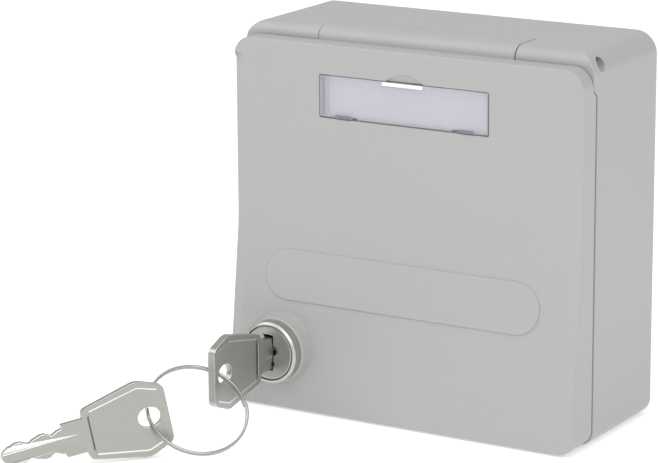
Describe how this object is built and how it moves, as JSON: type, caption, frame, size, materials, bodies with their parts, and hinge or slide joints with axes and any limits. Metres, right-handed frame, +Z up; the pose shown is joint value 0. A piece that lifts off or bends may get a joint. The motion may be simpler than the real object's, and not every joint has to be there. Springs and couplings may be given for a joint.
{
  "type": "bait station",
  "caption": "Small square wall-backed bait box with a top-hinged bellied lid, label window, cam lock low at one side, keys on a split ring, side entrance and bait rod inside.",
  "frame": {"origin": "middle of the base's underside, in plan the middle of the base housing's width", "axes": "+Z up, +Y towards the wall behind the base, -Y out of the lid, +X to the right of someone facing the lid"},
  "size_m": [0.1167, 0.1238, 0.1],
  "materials": {
    "housing": "fine moulded, light grey",
    "steel": "bright zinc plated",
    "tray": "dark grey, moulded",
    "bait": "pressed grain and wax, waxy matt",
    "card": "plain card, uncoated",
    "window": "clear, faintly smoked",
    "lock_metal": "satin nickel plate on a zinc casting",
    "key_metal": "nickel plated, lightly worn"
  },
  "bodies": {
    "base": {"base_housing": "housing", "hinge_pin": "steel", "keeper_plate": "steel", "keeper_screw_left": "steel", "keeper_screw_right": "steel", "baffle": "housing", "bait_tray": "tray", "bait_rod": "steel", "rod_clip_left": "tray", "rod_clip_right": "tray", "rod_clip_screw_left": "steel", "rod_clip_screw_right": "steel", "bait_block_left": "bait", "bait_block_middle": "bait", "bait_block_right": "bait"},
    "lid": {"lid_shell": "housing", "label_card": "card", "lock_housing": "lock_metal", "lock_washer": "steel", "lock_nut": "lock_metal"},
    "window": {"label_window": "window"},
    "plug": {"lock_plug": "lock_metal", "lock_cam": "steel", "cam_washer": "steel", "cam_screw": "steel"},
    "key": {"key": "key_metal"},
    "ring": {"split_ring": "steel"},
    "spare": {"spare_key": "key_metal"}
  },
  "joints": [
    {"name": "lid_hinge", "type": "hinge", "parent": "base", "child": "lid", "pos_m": [0, -0.0138, 0.0966], "axis": [-1, 0, 0], "range_deg": [0, 110]},
    {"name": "window_tilt", "type": "hinge", "parent": "lid", "child": "window", "pos_m": [0, -0.02435, 0.0781], "axis": [1, 0, 0], "range_deg": [0, 35]},
    {"name": "lock_turn", "type": "hinge", "parent": "lid", "child": "plug", "pos_m": [-0.0342, -0.02, 0.0167], "axis": [0, 1, 0], "range_deg": [0, 90]},
    {"name": "key_withdraw", "type": "slide", "parent": "plug", "child": "key", "axis": [0, -1, 0], "range_m": [0, 0.026]},
    {"name": "ring_swing", "type": "hinge", "parent": "key", "child": "ring", "pos_m": [-0.0342, -0.0558, 0.0167], "axis": [1, 0, 0], "range_deg": [-45, 60]},
    {"name": "spare_swing", "type": "hinge", "parent": "ring", "child": "spare", "pos_m": [-0.0418, -0.0776, 0.0101], "axis": [0.5888, -0.4391, -0.6786], "range_deg": [-40, 40]}
  ]
}
